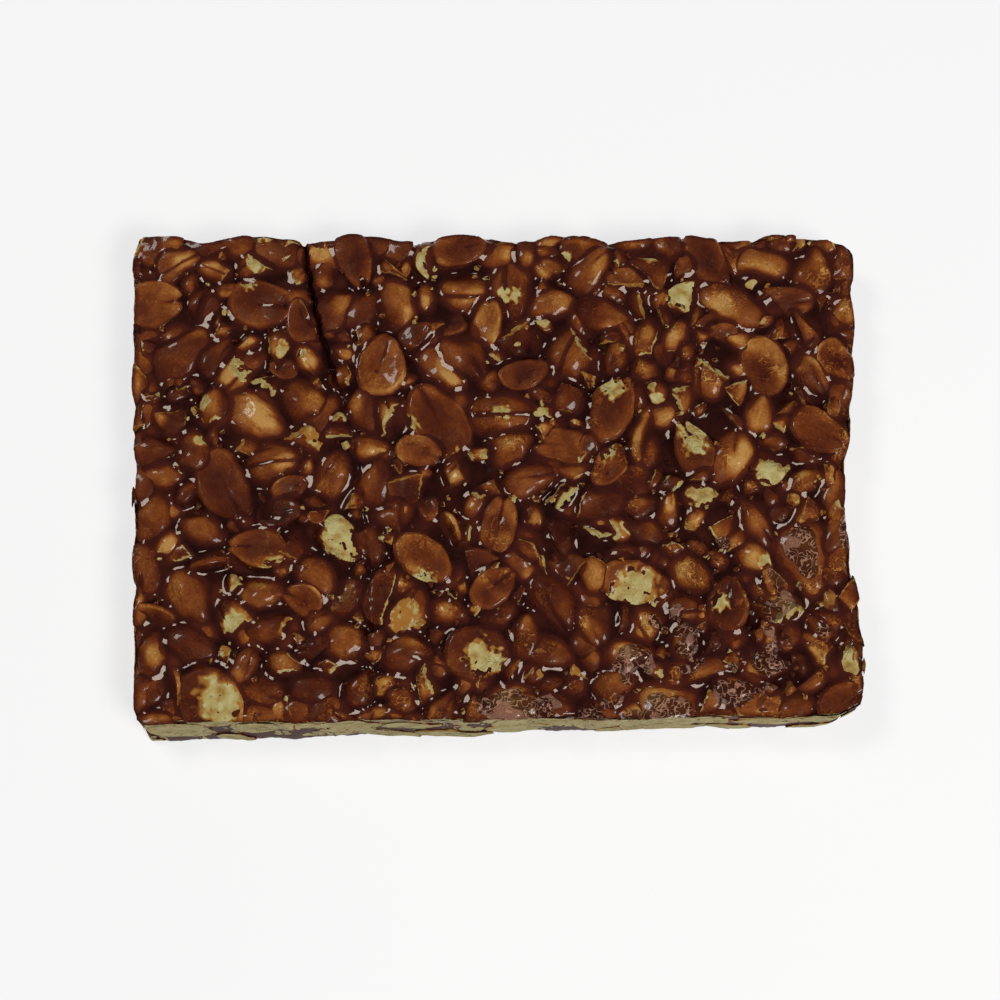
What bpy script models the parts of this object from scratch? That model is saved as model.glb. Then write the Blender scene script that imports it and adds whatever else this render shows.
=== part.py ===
"""A slab of peanut brittle: whole and halved roasted peanuts set in dark boiled sugar.

The slab was rolled flat on a tray while hot, knifed to a rough rectangle and scored across once.
It is one fused piece, so it is one solid. Units are metres, +Z is up, and the origin is the middle
of the underside. The length runs along X and the front, knife-cut side faces -Y.
"""

import math
import random

import bmesh
import bpy

# Driving sizes
LENGTH = 0.150
FRONT, BACK = -0.0501, 0.0513  # places of the rims, measured from the middle of the nut table
DEPTH = BACK - FRONT
THICKNESS = 0.0105  # underside to the crest of the highest nut
SYRUP_TOP = 0.0086  # level of the sugar between the nuts
CELL = 0.0021  # spacing of the modelled surface

# Nut sizes
HALF_WIDTH_RATIO = 0.33  # half of a kernel's width, as a share of its length
NUT_GAP = 0.0004
FILLER_LENGTHS = (0.0115, 0.0085, 0.0062)
TRIES_PER_LENGTH = 2500
SEED = 7

# Sides
LEFT_SLANT, RIGHT_SLANT = 0.0048, 0.0016  # how much the back is longer than the front at each end
FRONT_SLANT = 0.0016
FOOT_SPLAY = 0.0033  # the knife left the foot of the front side this much further forward than its rim
FOOT_BLEND = 0.007  # the splay fades out along the ends over about this far
SIDE_ROWS = 4
SIDE_ROUGHNESS = 0.00025
SHOULDER = 0.0020  # width over which the top rolls down to the sides
SHOULDER_DROP = 0.0009

# The score line, from the back edge to the front edge, and the size of its V
SCORE_ROUTE_MM = (
    (-40, 56), (-38.9, 45), (-37.7, 38.8), (-36, 31.2), (-34.3, 25.4), (-31.6, 17.4), (-29, 9),
    (-27.5, 0.7), (-26.5, -7.5), (-25.3, -17.6), (-24.8, -28), (-24.4, -38), (-24, -54),
)
SCORE_HALF_WIDTH = 0.0006
SCORE_DEPTH = 0.0030

# The largest nuts of the top face: across, back, length in mm, and the turn of their long axis in degrees
LARGE_NUTS = (
    (-64, 26, 15.5, 45), (-54, -2, 16, -60), (-11, 11, 18, -60), (24, 14, 15, 70), (3, 41, 14.5, 90),
    (16, 27, 14, 65), (62, -17, 16, -70), (33, -46, 15.5, 0), (-55, -46, 15, -45), (-48, 36, 13.5, -5),
    (55, 23, 13.5, -75), (49, 36, 13.5, -30), (-11, 23, 13.5, -55), (1, 13, 13.5, 0), (-6, 25, 13, -55),
    (-23, 23, 13, 75), (66, 9, 12.5, -30), (40, 6, 12.5, -70), (48, 3, 13, 75), (28, -22, 13, -10),
    (-14, -17, 13, -40), (12, -26, 13, -55), (-60, -25, 13, -50), (-3, -36, 13, -15), (44, 46, 13, -55),
    (-48, 12, 13, -30), (32, 8, 14.5, 80), (46, -26, 12, 80), (44, 22, 12, 80), (4, -46, 12.5, 15),
    (65, 22, 11.5, -55), (66, 43, 11.5, 80), (20, 44, 11, 55), (23, 34, 11.5, -10), (-38, 15, 11, -35),
    (-20, 36, 12, -65), (-59, -35, 11, -30), (68, -46, 11, 30), (-7, 48, 11, 15), (-50, -30, 11.5, -50),
    (-31, -13, 10.5, -50), (-33, 0, 10.5, 60), (-33, 35, 10.5, 50), (52, -10, 10.5, -60),
    (-44, 2, 10.5, 5), (-24, -2, 10.5, 80), (56, 45, 10.5, -5), (26, -36, 10, 0), (-6, 39, 10.5, 0),
)


class Nut:
    """An oval bump, kept as three discs along its long axis for testing the space around it."""

    def __init__(self, x, y, length, turn, crest):
        self.x, self.y = x, y
        self.half_length = length / 2
        self.half_width = length * HALF_WIDTH_RATIO
        self.cos, self.sin = math.cos(turn), math.sin(turn)
        self.crest = crest
        reach = self.half_length - self.half_width
        self.discs = [(x + s * reach * self.cos, y + s * reach * self.sin) for s in (-1, 0, 1)]

    def clears(self, other):
        space = self.half_width + other.half_width + NUT_GAP
        return all(math.dist(a, b) >= space for a in self.discs for b in other.discs)

    def rise(self, x, y):
        """Height of the bump above the syrup at a point, 0 outside it."""
        dx, dy = x - self.x, y - self.y
        along = (dx * self.cos + dy * self.sin) / self.half_length
        across = (dy * self.cos - dx * self.sin) / self.half_width
        outwards = along * along + across * across
        return self.crest * math.sqrt(1 - outwards) if outwards < 1 else 0.0


def pack_nuts():
    """The large nuts, then ever smaller ones dropped wherever they clear those already there."""
    rng = random.Random(SEED)
    highest = THICKNESS - SYRUP_TOP
    nuts = [
        Nut(x / 1000, y / 1000, length / 1000, math.radians(turn), highest * rng.uniform(0.7, 1))
        for x, y, length, turn in LARGE_NUTS
    ]
    for length in FILLER_LENGTHS:
        for _ in range(TRIES_PER_LENGTH):
            x = rng.uniform(-LENGTH / 2, LENGTH / 2)
            y = rng.uniform(FRONT, BACK)
            fresh = Nut(x, y, length, rng.uniform(0, math.pi), highest * rng.uniform(0.4, 0.95))
            if all(fresh.clears(nut) for nut in nuts):
                nuts.append(fresh)
    return nuts


def ripple(place, wavelength, height, shift=0.0):
    """A wave that only ever cuts inwards, from 0 to height."""
    return height * (1 + math.sin(math.tau * place / wavelength + shift)) / 2


def corner(to_end, radius):
    """How far a rounded corner pulls a side inwards, at a distance from that side's end."""
    short = max(radius - to_end, 0.0)
    return radius - math.sqrt(radius * radius - short * short)


def left_side(y):
    slant = LEFT_SLANT * (BACK - y) / DEPTH
    ends = corner(BACK - y, 0.0015) + corner(y - FRONT, 0.0015)
    return -LENGTH / 2 + slant + ends + ripple(y, 0.0125, 0.0006, 1.0)


def right_side(y):
    slant = 0.0006 + RIGHT_SLANT * (BACK - y) / DEPTH
    ends = corner(BACK - y, 0.0030) + corner(y - FRONT, 0.0055)
    worn_hollow = 0.0032 * math.exp(-(((y + 0.006) / 0.020) ** 2))
    return LENGTH / 2 - slant - ends - worn_hollow - ripple(y, 0.0118, 0.0007)


def front_side(x):
    slant = FRONT_SLANT * (0.5 + x / LENGTH)
    return FRONT + slant + ripple(x, 0.0310, 0.0004) + ripple(x, 0.0087, 0.0003, 2.0)


def foot_splay(x):
    """How far the foot of the front side stands before its rim, most at the left end."""
    return FOOT_SPLAY * (0.7 - 0.6 * x / LENGTH)


def back_side(x):
    wide = ripple(x + 0.0713, 0.0218, 0.0016, math.pi / 2)
    return BACK - 0.0016 + wide - ripple(x, 0.0069, 0.0004)


def top_height(x, y, to_side, nuts):
    """Syrup level or the nut that stands highest there, rolled down near the sides."""
    height = SYRUP_TOP + max(nut.rise(x, y) for nut in nuts)
    if to_side < SHOULDER:
        height -= SHOULDER_DROP * (1 - to_side / SHOULDER) ** 2
    return height


def shape_top(bm, nuts):
    """Spreads a unit grid over the outline and lifts it to the relief."""
    for vert in bm.verts:
        across, back = vert.co.x + 0.5, vert.co.y + 0.5
        y_guess = FRONT + back * DEPTH
        left, right = left_side(y_guess), right_side(y_guess)
        x = left + (right - left) * across
        front, rear = front_side(x), back_side(x)
        y = front + (rear - front) * back
        to_side = min(x - left, right - x, y - front, rear - y)
        vert.co = (x, y, top_height(x, y, to_side, nuts))


def add_sides(bm, rng):
    """Hangs the cut sides from the rim in rows, each slightly uneven, and closes the flat underside."""
    rim = [edge for edge in bm.edges if edge.is_boundary]
    for row in range(1, SIDE_ROWS + 1):
        made = bmesh.ops.extrude_edge_only(bm, edges=rim)["geom"]
        rim = [item for item in made if isinstance(item, bmesh.types.BMEdge)]
        rows_left = SIDE_ROWS - row
        for vert in (item for item in made if isinstance(item, bmesh.types.BMVert)):
            vert.co.z *= rows_left / (rows_left + 1)
            inwards = 1 - rng.uniform(0, SIDE_ROUGHNESS) / (LENGTH / 2)
            vert.co.x *= inwards
            vert.co.y *= inwards
            nearness = 1.4 - (vert.co.y - FRONT) / FOOT_BLEND
            vert.co.y -= min(max(nearness, 0), 1) * foot_splay(vert.co.x) / SIDE_ROWS
    bmesh.ops.contextual_create(bm, geom=rim)


def centre_on_origin(bm):
    for axis in (0, 1):
        places = [vert.co[axis] for vert in bm.verts]
        middle = (min(places) + max(places)) / 2
        for vert in bm.verts:
            vert.co[axis] -= middle


def build_slab(collection):
    bm = bmesh.new()
    columns, rows = round(LENGTH / CELL), round(DEPTH / CELL)
    bmesh.ops.create_grid(bm, x_segments=columns, y_segments=rows, size=0.5)
    shape_top(bm, pack_nuts())
    add_sides(bm, random.Random(SEED))
    centre_on_origin(bm)
    bmesh.ops.recalc_face_normals(bm, faces=bm.faces)
    mesh = bpy.data.meshes.new("brittle_slab")
    bm.to_mesh(mesh)
    bm.free()
    mesh.shade_smooth()
    mesh.set_sharp_from_angle(angle=math.radians(50))
    slab = bpy.data.objects.new("brittle_slab", mesh)
    collection.objects.link(slab)
    return slab


def build_score_knife(collection):
    """A four-sided rod along the score line, stretched downwards so that its lower half cuts a V."""
    curve = bpy.data.curves.new("score_knife", "CURVE")
    curve.dimensions = "3D"
    curve.bevel_depth = SCORE_HALF_WIDTH
    curve.bevel_resolution = 0
    curve.use_fill_caps = True
    spline = curve.splines.new("POLY")
    spline.points.add(len(SCORE_ROUTE_MM) - 1)
    for point, (x, y) in zip(spline.points, SCORE_ROUTE_MM):
        point.co = (x / 1000, y / 1000, 0, 1)
    rod = bpy.data.objects.new("score_rod", curve)
    collection.objects.link(rod)
    bpy.context.view_layer.update()
    graph = bpy.context.evaluated_depsgraph_get()
    mesh = bpy.data.meshes.new_from_object(rod.evaluated_get(graph))
    bpy.data.objects.remove(rod)

    bm = bmesh.new()
    bm.from_mesh(mesh)
    bmesh.ops.remove_doubles(bm, verts=bm.verts, dist=1e-6)
    for vert in bm.verts:
        vert.co.z = SYRUP_TOP + vert.co.z * SCORE_DEPTH / SCORE_HALF_WIDTH
    bmesh.ops.recalc_face_normals(bm, faces=bm.faces)
    bm.to_mesh(mesh)
    bm.free()
    knife = bpy.data.objects.new("score_knife", mesh)
    knife.hide_render = True
    knife.display_type = "WIRE"
    collection.objects.link(knife)
    return knife


def sugar_material():
    material = bpy.data.materials.new("dark_sugar_and_peanut")
    material.use_nodes = True
    shader = material.node_tree.nodes["Principled BSDF"]
    shader.inputs["Base Color"].default_value = (0.13, 0.045, 0.018, 1)
    shader.inputs["Roughness"].default_value = 0.18
    shader.inputs["Metallic"].default_value = 0.0
    return material


def new_collection(name):
    collection = bpy.data.collections.new(name)
    bpy.context.scene.collection.children.link(collection)
    return collection


def main():
    for obj in list(bpy.data.objects):
        bpy.data.objects.remove(obj)
    slab = build_slab(new_collection("nut_brittle_piece"))
    slab.data.materials.append(sugar_material())
    score = slab.modifiers.new("score line", "BOOLEAN")
    score.operation = "DIFFERENCE"
    score.solver = "EXACT"
    score.object = build_score_knife(new_collection("cutters"))


main()
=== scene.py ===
# %% [markdown]
# # A slab of peanut brittle
# Roasted peanuts, most of them split into halves, are stirred into boiled sugar, rolled flat on a tray
# and knifed into a slab. The sugar sets as a dark, clear glass, so what we see is a crowd of glossy nuts
# with deep brown pools between them. The CAD model gives the slab's size and outline as one plain solid.
# Here that solid is swapped for a core of sugar and the real nuts, each a mesh of its own shape.
# All modelling happens in millimetres, because nut sizes are easy to picture that way.

# %% Tools and the fixed frame
import math
from functools import partial

import bmesh
import bpy
import numpy as np
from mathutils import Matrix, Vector
from mathutils.bvhtree import BVHTree


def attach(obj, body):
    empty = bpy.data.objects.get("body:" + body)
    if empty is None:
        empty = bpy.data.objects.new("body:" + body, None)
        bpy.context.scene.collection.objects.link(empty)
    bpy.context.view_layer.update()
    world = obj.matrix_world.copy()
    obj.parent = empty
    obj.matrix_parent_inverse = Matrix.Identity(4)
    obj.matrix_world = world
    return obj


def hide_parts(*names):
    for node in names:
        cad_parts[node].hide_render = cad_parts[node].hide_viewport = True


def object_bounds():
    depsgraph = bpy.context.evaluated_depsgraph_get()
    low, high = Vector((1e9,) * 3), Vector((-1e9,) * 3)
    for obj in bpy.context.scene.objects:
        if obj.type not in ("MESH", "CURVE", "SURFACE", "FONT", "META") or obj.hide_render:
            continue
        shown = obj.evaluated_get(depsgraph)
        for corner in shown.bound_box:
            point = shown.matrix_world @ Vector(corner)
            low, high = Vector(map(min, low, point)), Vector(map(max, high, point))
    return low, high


MM = 0.001
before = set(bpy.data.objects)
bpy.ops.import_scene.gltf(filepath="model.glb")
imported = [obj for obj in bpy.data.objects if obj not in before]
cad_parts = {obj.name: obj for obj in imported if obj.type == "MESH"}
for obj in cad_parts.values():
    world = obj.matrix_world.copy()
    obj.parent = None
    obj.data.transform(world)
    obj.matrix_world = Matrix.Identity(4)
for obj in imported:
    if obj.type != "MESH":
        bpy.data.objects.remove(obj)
cad_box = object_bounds()
low, high = (np.array(corner) / MM for corner in cad_box)
slab_points = np.array([vert.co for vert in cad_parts["brittle_slab"].data.vertices]) / MM
print("slab", np.round(high - low, 1), "mm,", len(slab_points), "points")

# %% [markdown]
# ## The outline
# The slab isn't a true rectangle: its back edge was rolled and waves, its front was cut with a knife, and
# the ends lean. Every later step needs to know where the sides are. We could copy the CAD formulas, but
# then two files must agree. Reading the outermost points of the solid keeps one source of truth. It is
# read twice, at the rim and at the foot, because the knife left the front side sloping. Along a side we
# store how far out it lies at each place. That says nothing about the rounded corners, so each of those is
# held by three slanted lines as well, the way a few straight cuts make a round corner.

# %% Reading the four sides and the corners
STATION = 1.5
CORNER_ROOM = 7.7  # the corners are rounded within this distance of the ends
RIM_HEIGHT, FOOT_HEIGHT = 7.0, 0.5
rim_points = slab_points[slab_points[:, 2] > RIM_HEIGHT]
foot_points = slab_points[slab_points[:, 2] < FOOT_HEIGHT]


class Side:
    """One side of the slab as two lines, read from the outermost points of the CAD solid."""

    def __init__(self, along, across, outwards):
        self.along, self.across, self.outwards = along, across, outwards
        self.places = np.arange(low[along] + CORNER_ROOM, high[along] - CORNER_ROOM, STATION)
        self.rim, self.foot = self.line(rim_points), self.line(foot_points)

    def line(self, points):
        pick = np.max if self.outwards > 0 else np.min
        reach = [
            pick(points[np.abs(points[:, self.along] - place) <= STATION, self.across]) for place in self.places
        ]
        padded = np.pad(reach, 1, "edge")
        return (padded[:-2] + 2 * padded[1:-1] + padded[2:]) / 4

    def at(self, place, height=RIM_HEIGHT):
        """Where the side is, at a place along it and a height above the underside."""
        share = np.clip(height / RIM_HEIGHT, 0, 1)
        foot, rim = (np.interp(place, self.places, line) for line in (self.foot, self.rim))
        return foot * (1 - share) + rim * share


front, back = Side(0, 1, -1), Side(0, 1, 1)
left, right = Side(1, 0, -1), Side(1, 0, 1)
SIDES = (front, back, left, right)


class Corner:
    """A slanted line that just touches a rounded corner."""

    def __init__(self, heading):
        self.direction = np.array((math.cos(heading), math.sin(heading)))
        self.rim, self.foot = ((points[:, :2] @ self.direction).max() for points in (rim_points, foot_points))

    def over(self, points):
        """How far points lie outside the line at their height."""
        share = np.clip(points[:, 2] / RIM_HEIGHT, 0, 1)
        return points[:, :2] @ self.direction - self.foot * (1 - share) - self.rim * share


CORNERS = [Corner(math.radians(90 * quarter + step)) for quarter in range(4) for step in (25, 45, 65)]


def inside_by(x, y):
    """How far a place lies inside the nearest side, negative outside the slab."""
    gaps = [x - left.at(y), right.at(y) - x, y - front.at(x), back.at(x) - y]
    gaps += [corner.rim - x * corner.direction[0] - y * corner.direction[1] for corner in CORNERS]
    return np.minimum.reduce(gaps)


print("front to back at the middle:", round(float(back.at(0) - front.at(0)), 1), "mm")

# %% [markdown]
# ## Small helpers for shapes
# A nut is a ball that has been pushed about, so each one starts as the same icosphere. Randomness comes
# from seeded generators, which give the same slab on every run. `lumps` adds up a few crossing waves:
# that is smoother than white noise and works on thousands of points at once.

# %% Balls, smooth steps and lumps
SEED = 21
balls = {}


def turned(points, axis, angle):
    """Turns points about x (0), y (1) or z (2) by an angle in radians."""
    first, second = [(1, 2), (2, 0), (0, 1)][axis]
    moved = points.copy()
    moved[:, first] = points[:, first] * math.cos(angle) - points[:, second] * math.sin(angle)
    moved[:, second] = points[:, first] * math.sin(angle) + points[:, second] * math.cos(angle)
    return moved


def ball(detail, gathered=1.0):
    """Points and triangles of a ball of radius 1. Gathering draws the points towards the top, which shows."""
    key = detail, gathered
    if key not in balls:
        bm = bmesh.new()
        bmesh.ops.create_icosphere(bm, subdivisions=detail, radius=1)
        bm.verts.index_update()
        points = np.array([vert.co for vert in bm.verts], float)
        faces = np.array([[vert.index for vert in face.verts] for face in bm.faces])
        bm.free()
        x, y, z = turned(turned(points, 0, 0.4), 1, 0.3).T
        flat_x, flat_y = x / (1 + z) / gathered, y / (1 + z) / gathered
        far = flat_x**2 + flat_y**2
        balls[key] = np.stack((2 * flat_x, 2 * flat_y, 1 - far), 1) / (1 + far)[:, None], faces
    return balls[key]


def smooth(start, end, value):
    """0 before start, 1 after end, and an S-curve between. Start may be the larger of the two."""
    share = np.clip((value - start) / (end - start), 0, 1)
    return share * share * (3 - 2 * share)


def lumps(points, size, rng, waves=6):
    """Soft unevenness, mostly between -1 and 1: waves of about one length, in random directions."""
    total = np.zeros(len(points))
    for _ in range(waves):
        direction = rng.normal(size=points.shape[1])
        direction *= math.tau / size * rng.uniform(0.7, 1.5) / np.linalg.norm(direction)
        total += np.sin(points @ direction + rng.uniform(0, math.tau))
    return total / math.sqrt(waves)


for detail in (2, 3, 4, 5):
    print("ball", detail, "has", len(ball(detail)[1]), "triangles")

# %% [markdown]
# ## The forms of a peanut
# A roasted peanut falls apart into two halves. Lying round side up, a half is a smooth dome. Lying flat
# side up, it shows a rim, a shallow hollow and a notch where the germ sat. A whole nut has a seam between
# its halves. Broken ones show pale, grainy insides. Each form below bends a unit ball: `u` runs along the
# nut, `v` across it and `w` up. Each also returns how much sugar gathers on it, in mm, because hollows
# and seams look darker, and how much its colour is lifted or lowered. That lightening is mostly painted
# light on crests and rims, where light falls, together with thinner glaze there.

# %% Domed, open and whole forms
DOME_POWER = 0.82


def oval(unit, rng):
    """Squares up the plan of a ball, makes one end pointed and bends it a little, as nuts are."""
    u, v, w = unit.T
    around = np.arctan2(v, u)
    squareness = rng.uniform(1.9, 2.5)
    reach = (np.abs(np.cos(around)) ** squareness + np.abs(np.sin(around)) ** squareness) ** (-1 / squareness)
    u, v = u * reach, v * reach
    lean, point, bend = rng.uniform(0, 0.24), rng.uniform(0, 0.42), rng.uniform(-0.16, 0.16)
    v = v * (1 - lean * u) * (1 - point * smooth(0.0, 1.1, u))
    return u, v + bend * (u * u - 0.4), w


def crease(u, v, rng):
    """A crack or a fold along part of a nut. Nearly half of the nuts have one."""
    depth = rng.uniform(0.06, 0.13) * (rng.random() < 0.45)
    line = v - rng.uniform(-0.3, 0.3) - rng.uniform(-0.3, 0.3) * u - 0.1 * np.sin(3 * u + rng.uniform(0, 6))
    return depth * np.exp(-((line / 0.10) ** 2)) * smooth(rng.uniform(-0.9, 0.1), 0.5, u)


def crest_light_and_thin_glaze(unit, rng):
    """How far a nut is lightened, as painted light: lighter where its crest faces up, with a pale spot for a soft
    highlight over thinner glaze.
    """
    light_and_glaze_lift = 0.16 * smooth(0.3, 0.95, unit @ near_top(rng, 0.18))
    if rng.random() < 0.75:
        light_and_glaze_lift = light_and_glaze_lift + rng.uniform(0.12, 0.42) * smooth(rng.uniform(0.7, 0.86), 1.0, unit @ near_top(rng, 0.4))
    return light_and_glaze_lift


def near_top(rng, spread):
    """A direction that points roughly up."""
    axis = np.array((rng.normal(0, spread), rng.normal(0, spread), 1.0))
    return axis / np.linalg.norm(axis)


def domed(unit, rng):
    u, v, w = oval(unit, rng)
    groove = crease(u, v, rng) * smooth(0.1, 0.5, w)
    rise = np.where(w > 0, np.abs(w) ** DOME_POWER * rng.uniform(0.8, 1.0), w * 0.4)
    return np.stack((u, v, rise - groove), 1), groove * 5, crest_light_and_thin_glaze(unit, rng)


def open_face(unit, rng, mouth=None):
    """A half with its flat face up. The mouth is the notch at its tip, as a share of half its length."""
    u, v, w = oval(unit, rng)
    outwards = np.hypot(unit[:, 0], unit[:, 1])
    deep = rng.choice([0, 0.14, 0.34]) if mouth is None else mouth
    notch = deep * np.exp(-((v / 0.18) ** 2)) * smooth(0.4, 1.0, u)
    edge = 0.11 * smooth(0.86, 1.0, outwards)
    hollow = rng.uniform(-0.04, 0.07) * smooth(0.95, 0.2, outwards)
    seat = rng.uniform(0, 0.07) * np.exp(-((v / 0.09) ** 2)) * smooth(-0.3, 0.7, u)
    rise = np.where(w > 0, -edge - hollow - seat, w * 0.85 - 0.11)
    # The rim is drawn lighter all round, partly for thinner sugar there, and lighter still on one side as a painted
    # highlight.
    side = np.clip(1 + unit[:, :2] @ rng.normal(0, 0.8, 2), 0, 2)
    light_and_glaze_lift = rng.uniform(0.12, 0.28) * smooth(0.2, 0.95, outwards) + 0.2 * side * smooth(0.8, 0.96, outwards)
    return np.stack((u - notch, v, rise), 1), seat * 4 + notch * 0.6, light_and_glaze_lift * (w > -0.3)


def whole(unit, rng):
    u, v, w = oval(unit, rng)
    tip = 0.07 * smooth(0.9, 1.0, unit[:, 0])
    lean = rng.uniform(-0.5, 0.5)
    seam = 0.11 * np.exp(-(((v * math.cos(lean) + w * math.sin(lean)) / 0.075) ** 2))
    form = np.stack((u + tip, v, w * 0.95), 1) * (1 - seam)[:, None]
    return form, seam * 9, crest_light_and_thin_glaze(unit, rng)


def lump(unit, rng):
    """A rounded bit broken from a nut."""
    return unit * (1, 1, 0.8), np.zeros(len(unit)), 0.8 * crest_light_and_thin_glaze(unit, rng)


FORMS = {"domed": domed, "open": open_face, "whole": whole, "edge": open_face, "lump": lump}
print("forms:", ", ".join(FORMS))

# %% [markdown]
# ## Breaking and cutting
# A knife or a crack leaves a flat face. A Boolean would cut it, but hundreds of Booleans are slow. Pushing
# every point that lies beyond the plane back onto it gives the same face, keeps the mesh closed, and
# leaves plenty of points there for the grainy relief of a broken nut.

# %% Broken faces and cut sides
GRAIN = 0.13
PARTLY_BARE = (0, 0.1, 0.2, 0.35, 0.8)  # how pale a nut is where it meets the back, left or right side


def facets(rng, count):
    """Shallow crack planes, for the flats and edges that a half gets from its neighbours."""
    planes = []
    for _ in range(count):
        direction = np.array((rng.uniform(-1, 1), rng.uniform(-1, 1), rng.uniform(0.15, 1.1)))
        direction /= np.linalg.norm(direction)
        planes.append((direction, rng.uniform(0.78, 0.95) * np.linalg.norm(direction * (1, 0.68, 0.6))))
    return planes


def break_off(points, normal, reach, roughness, rng):
    """Presses what lies beyond a plane back onto it as a grainy face. Returns which points that is."""
    normal = np.array(normal) / np.linalg.norm(normal)
    beyond = points @ normal - reach
    broken = beyond > 0
    grain = GRAIN * roughness * (lumps(points, 2.6, rng) + 0.6 * lumps(points, 1.0, rng)) * smooth(0, 0.4, beyond)
    points -= np.where(broken, beyond - grain, 0)[:, None] * normal
    return broken


def trim_to_sides(points, proud, rng):
    """Cuts off what sticks out of the slab, flush but for a little. Returns how much each point was cut."""
    cut = np.zeros(len(points))
    for side, paleness in zip(SIDES, (1.0, *rng.choice(PARTLY_BARE, 3))):
        limit = side.at(points[:, side.along], points[:, 2]) + side.outwards * proud
        beyond = (points[:, side.across] - limit) * side.outwards
        hit = beyond > 0
        rough = 0.05 * lumps(points, 1.8, rng)[hit]
        points[hit, side.across] = limit[hit] + rough - side.outwards * 0.08
        cut[hit] = np.maximum(cut[hit], paleness * smooth(0.1, 0.5, beyond[hit]))
    for corner in CORNERS:
        beyond = corner.over(points) - proud
        hit = beyond > 0
        points[hit, :2] -= (beyond[hit, None] + 0.08) * corner.direction
        cut[hit] = np.maximum(cut[hit], paleness * smooth(0.1, 0.5, beyond[hit]))
    return cut


# %% [markdown]
# ## Laying one kernel
# A kernel is its form, scaled, tilted a little, turned to its heading and moved so that its highest point
# has the height asked for. Kernels of one kind are gathered in a batch and become one mesh at the end,
# because one object with many nuts is far lighter to handle than hundreds of objects.

# %% The batch
HALF_WIDTH_RATIO = 0.34


class Batch:
    """Kernels of one kind, gathered to be one mesh. Traits are numbers for each point."""

    def __init__(self, name, seed):
        self.name = name
        self.rng = np.random.default_rng(SEED + seed)
        self.parts, self.faces, self.count, self.kernels = [], [], 0, 0

    def lay(self, x, y, length, turn, crest, form, tone, detail=4, width=HALF_WIDTH_RATIO, tilt=9, cracks=(),
            paleness=1.0, height=1.0, gathered=1.5, mouth=None):
        """Adds one kernel. Turn and tilt are in degrees; cracks are (direction, reach) pairs in its own axes."""
        rng = self.rng
        unit, faces = ball(detail, gathered)
        shape, sugar, light_and_glaze_lift = (partial(open_face, mouth=mouth) if form == "open" else FORMS[form])(unit, rng)
        half_width = length * width * rng.uniform(0.94, 1.06)
        points = shape * (length / 2, half_width, half_width * height)
        points += 0.026 * length * lumps(points, length * 0.9, rng)[:, None] * unit
        points += 0.007 * length * lumps(points, length * 0.3, rng)[:, None] * unit
        drift = 0.15 * np.tanh(unit @ rng.normal(0, 0.7, 3)) + 0.06 * lumps(points, length * 0.5, rng)
        own = points.copy()
        bare = np.zeros(len(points))
        for direction, reach in cracks:
            bare[break_off(points, direction, reach * length / 2, 0.25 + 0.75 * paleness, rng)] = paleness
        roll = math.radians(rng.normal(0, tilt)) + (math.radians(rng.uniform(52, 68)) if form == "edge" else 0)
        points = turned(points, 0, roll)
        points = turned(points, 1, math.radians(rng.normal(0, tilt)))
        points = turned(points, 2, math.radians(turn))
        points += (x, y, crest - points[:, 2].max())
        cut = trim_to_sides(points, rng.uniform(-0.3, 0.35), rng)
        points = np.clip(points, low, high)
        traits = {
            # tone less the lightening: painted light on crests and rims, partly thinner glaze
            "tone": tone - light_and_glaze_lift + drift,
            "sugar": sugar * half_width / 3.5,
            "bare": np.maximum(bare, cut),
            "cut": cut,
        }
        self.add(points, faces, own, traits)

    def add(self, points, faces, own, traits):
        self.parts.append({"points": points, "own": own, **traits})
        self.faces.append(faces + self.count)
        self.count += len(points)
        self.kernels += 1

    def all(self, trait):
        return np.concatenate([part[trait] for part in self.parts])


# %% [markdown]
# ## Where the large nuts lie
# The top shows about a hundred and thirty nuts that the eye can tell apart. They are listed one
# kind to a table: across, back, length in mm and heading in degrees. Random packing would be quicker to
# write, but a real slab has clusters, leaning pairs and gaps that chance rarely gives.

# %% Tables of the nuts that show
OPEN_HALVES = (
    (-48, 36, 13.5, -5, 0.34), (-70, 36, 12.5, 10, 0.14), (-54, -2, 16, -60, 0.14), (-29, 46, 12, -70, 0.34),
    (-23, 23, 13, 75, 0), (-7, 48, 11, 15, 0), (6, 21, 10, 20, 0), (-11, 11, 18, 120, 0), (24, 14, 15, 70, 0.14),
    (23, 2, 10, 60, 0), (-15, 5, 9.5, -20, 0.14), (44, 46, 13, -55, 0), (55, 23, 13.5, -75, 0),
    (70, 24, 9.5, -55, 0), (66, 9, 12.5, -30, 0.14), (40, 6, 12.5, 110, 0.34), (28, -22, 13, -10, 0),
    (46, -26, 12, 80, 0.14), (68, -46, 11, 30, 0), (-14, -17, 13, -40, 0), (1, -10, 11, 80, 0.14),
    (-3, -36, 13, -15, 0), (-55, -46, 15, -45, 0.14),
)
WHOLE_NUTS = ((-65, 45, 9.5, 35), (-44, 2, 10.5, 5), (-6, 39, 10.5, 0), (3, 41, 14.5, 90), (1, 13, 13.5, 0))
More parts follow.
